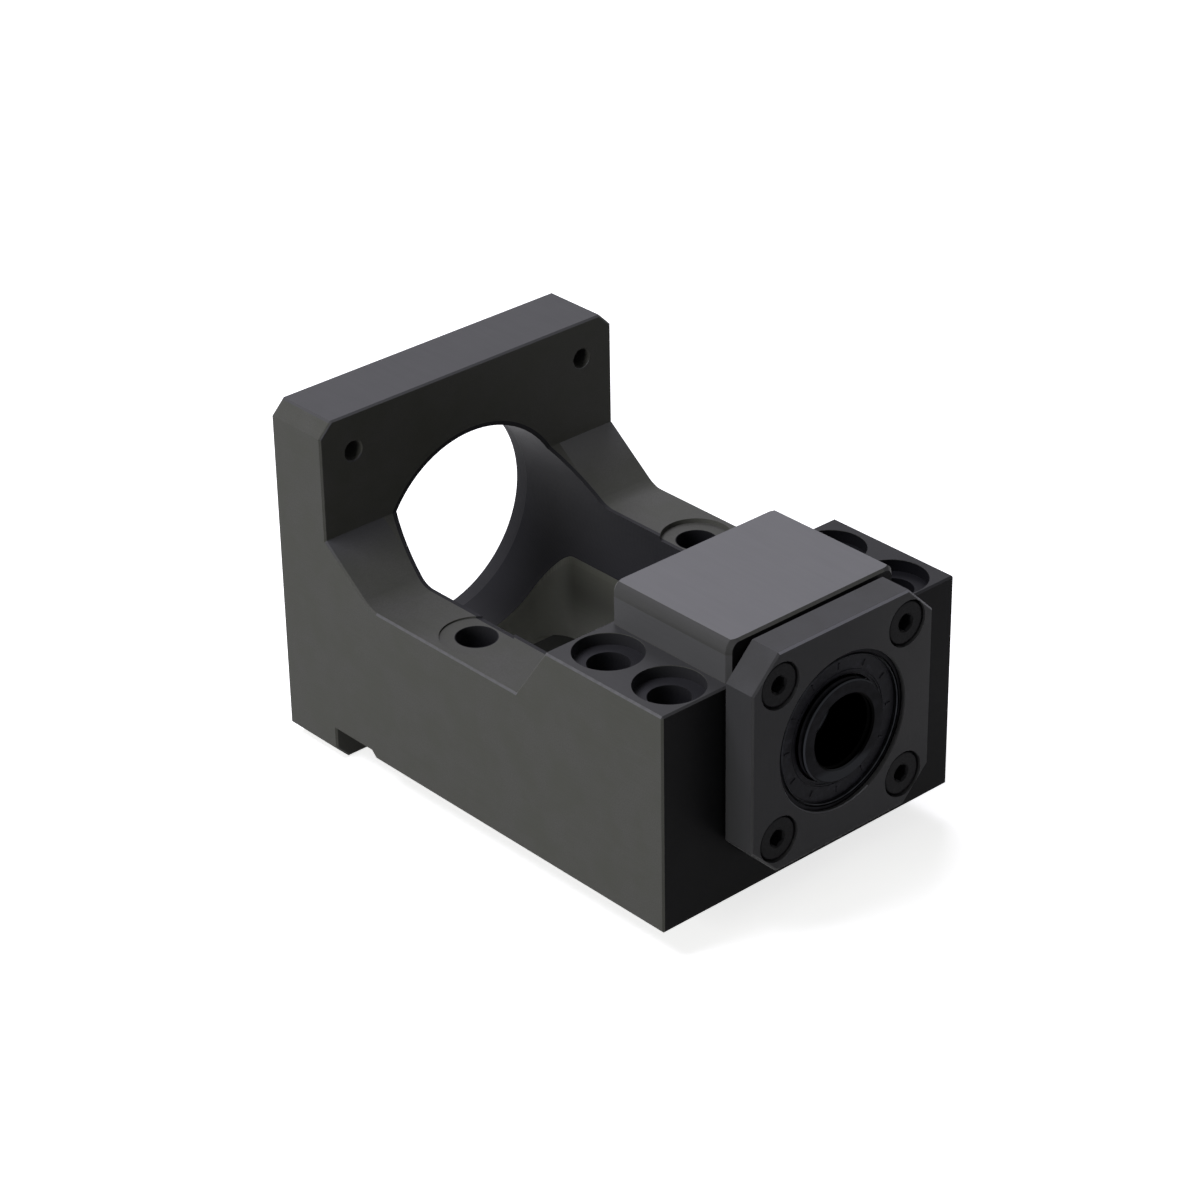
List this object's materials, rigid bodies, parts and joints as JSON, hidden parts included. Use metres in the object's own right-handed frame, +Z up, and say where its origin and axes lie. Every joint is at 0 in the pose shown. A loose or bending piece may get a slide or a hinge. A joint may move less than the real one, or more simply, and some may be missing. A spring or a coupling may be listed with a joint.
{
  "type": "ball screw end support",
  "caption": "Fixed-end ball screw support: one-piece bracket with bearing housing, coupling trough and square motor flange.",
  "frame": {"origin": "on the mounting plane, under the screw axis, at the centre of the four screws of the bearing housing", "axes": "+Y along the screw axis from the bearing end to the motor end, +Z up from the mounting plane, +X across"},
  "size_m": [0.06, 0.0953, 0.06],
  "materials": {
    "bracket_steel": "machined and blackened, satin",
    "plate_steel": "machined and blackened, satin",
    "screw_steel": "blackened, oiled",
    "bearing_steel": "ground bearing steel",
    "collar_steel": "ground steel",
    "cage_polyamide": "moulded, matt",
    "seal_rubber": "moulded nitrile rubber"
  },
  "bodies": {
    "housing": {"bracket_body": "bracket_steel", "retaining_plate": "plate_steel", "plate_screw_1": "screw_steel", "plate_screw_2": "screw_steel", "plate_screw_3": "screw_steel", "plate_screw_4": "screw_steel", "front_outer_ring": "bearing_steel", "front_bearing_seal": "seal_rubber", "rear_outer_ring": "bearing_steel", "rear_bearing_seal": "seal_rubber", "outer_spacer": "collar_steel", "rear_oil_seal": "seal_rubber"},
    "screw_sleeve": {"front_inner_ring": "bearing_steel", "rear_inner_ring": "bearing_steel", "inner_spacer": "collar_steel", "front_collar": "collar_steel", "rear_collar": "collar_steel"},
    "front_ball_set": {"front_balls": "bearing_steel", "front_cage": "cage_polyamide"},
    "rear_ball_set": {"rear_balls": "bearing_steel", "rear_cage": "cage_polyamide"}
  },
  "joints": [
    {"name": "screw_spin", "type": "hinge", "parent": "housing", "child": "screw_sleeve", "pos_m": [0, 0, 0.025], "axis": [0, 1, 0], "continuous": true},
    {"name": "front_ball_spin", "type": "hinge", "parent": "housing", "child": "front_ball_set", "pos_m": [0, 0, 0.025], "axis": [0, 1, 0], "continuous": true},
    {"name": "rear_ball_spin", "type": "hinge", "parent": "housing", "child": "rear_ball_set", "pos_m": [0, 0, 0.025], "axis": [0, 1, 0], "continuous": true}
  ],
  "couplings": [
    {"joint": "front_ball_spin", "follows": "screw_spin", "ratio": 0.3969},
    {"joint": "rear_ball_spin", "follows": "screw_spin", "ratio": 0.3969}
  ]
}
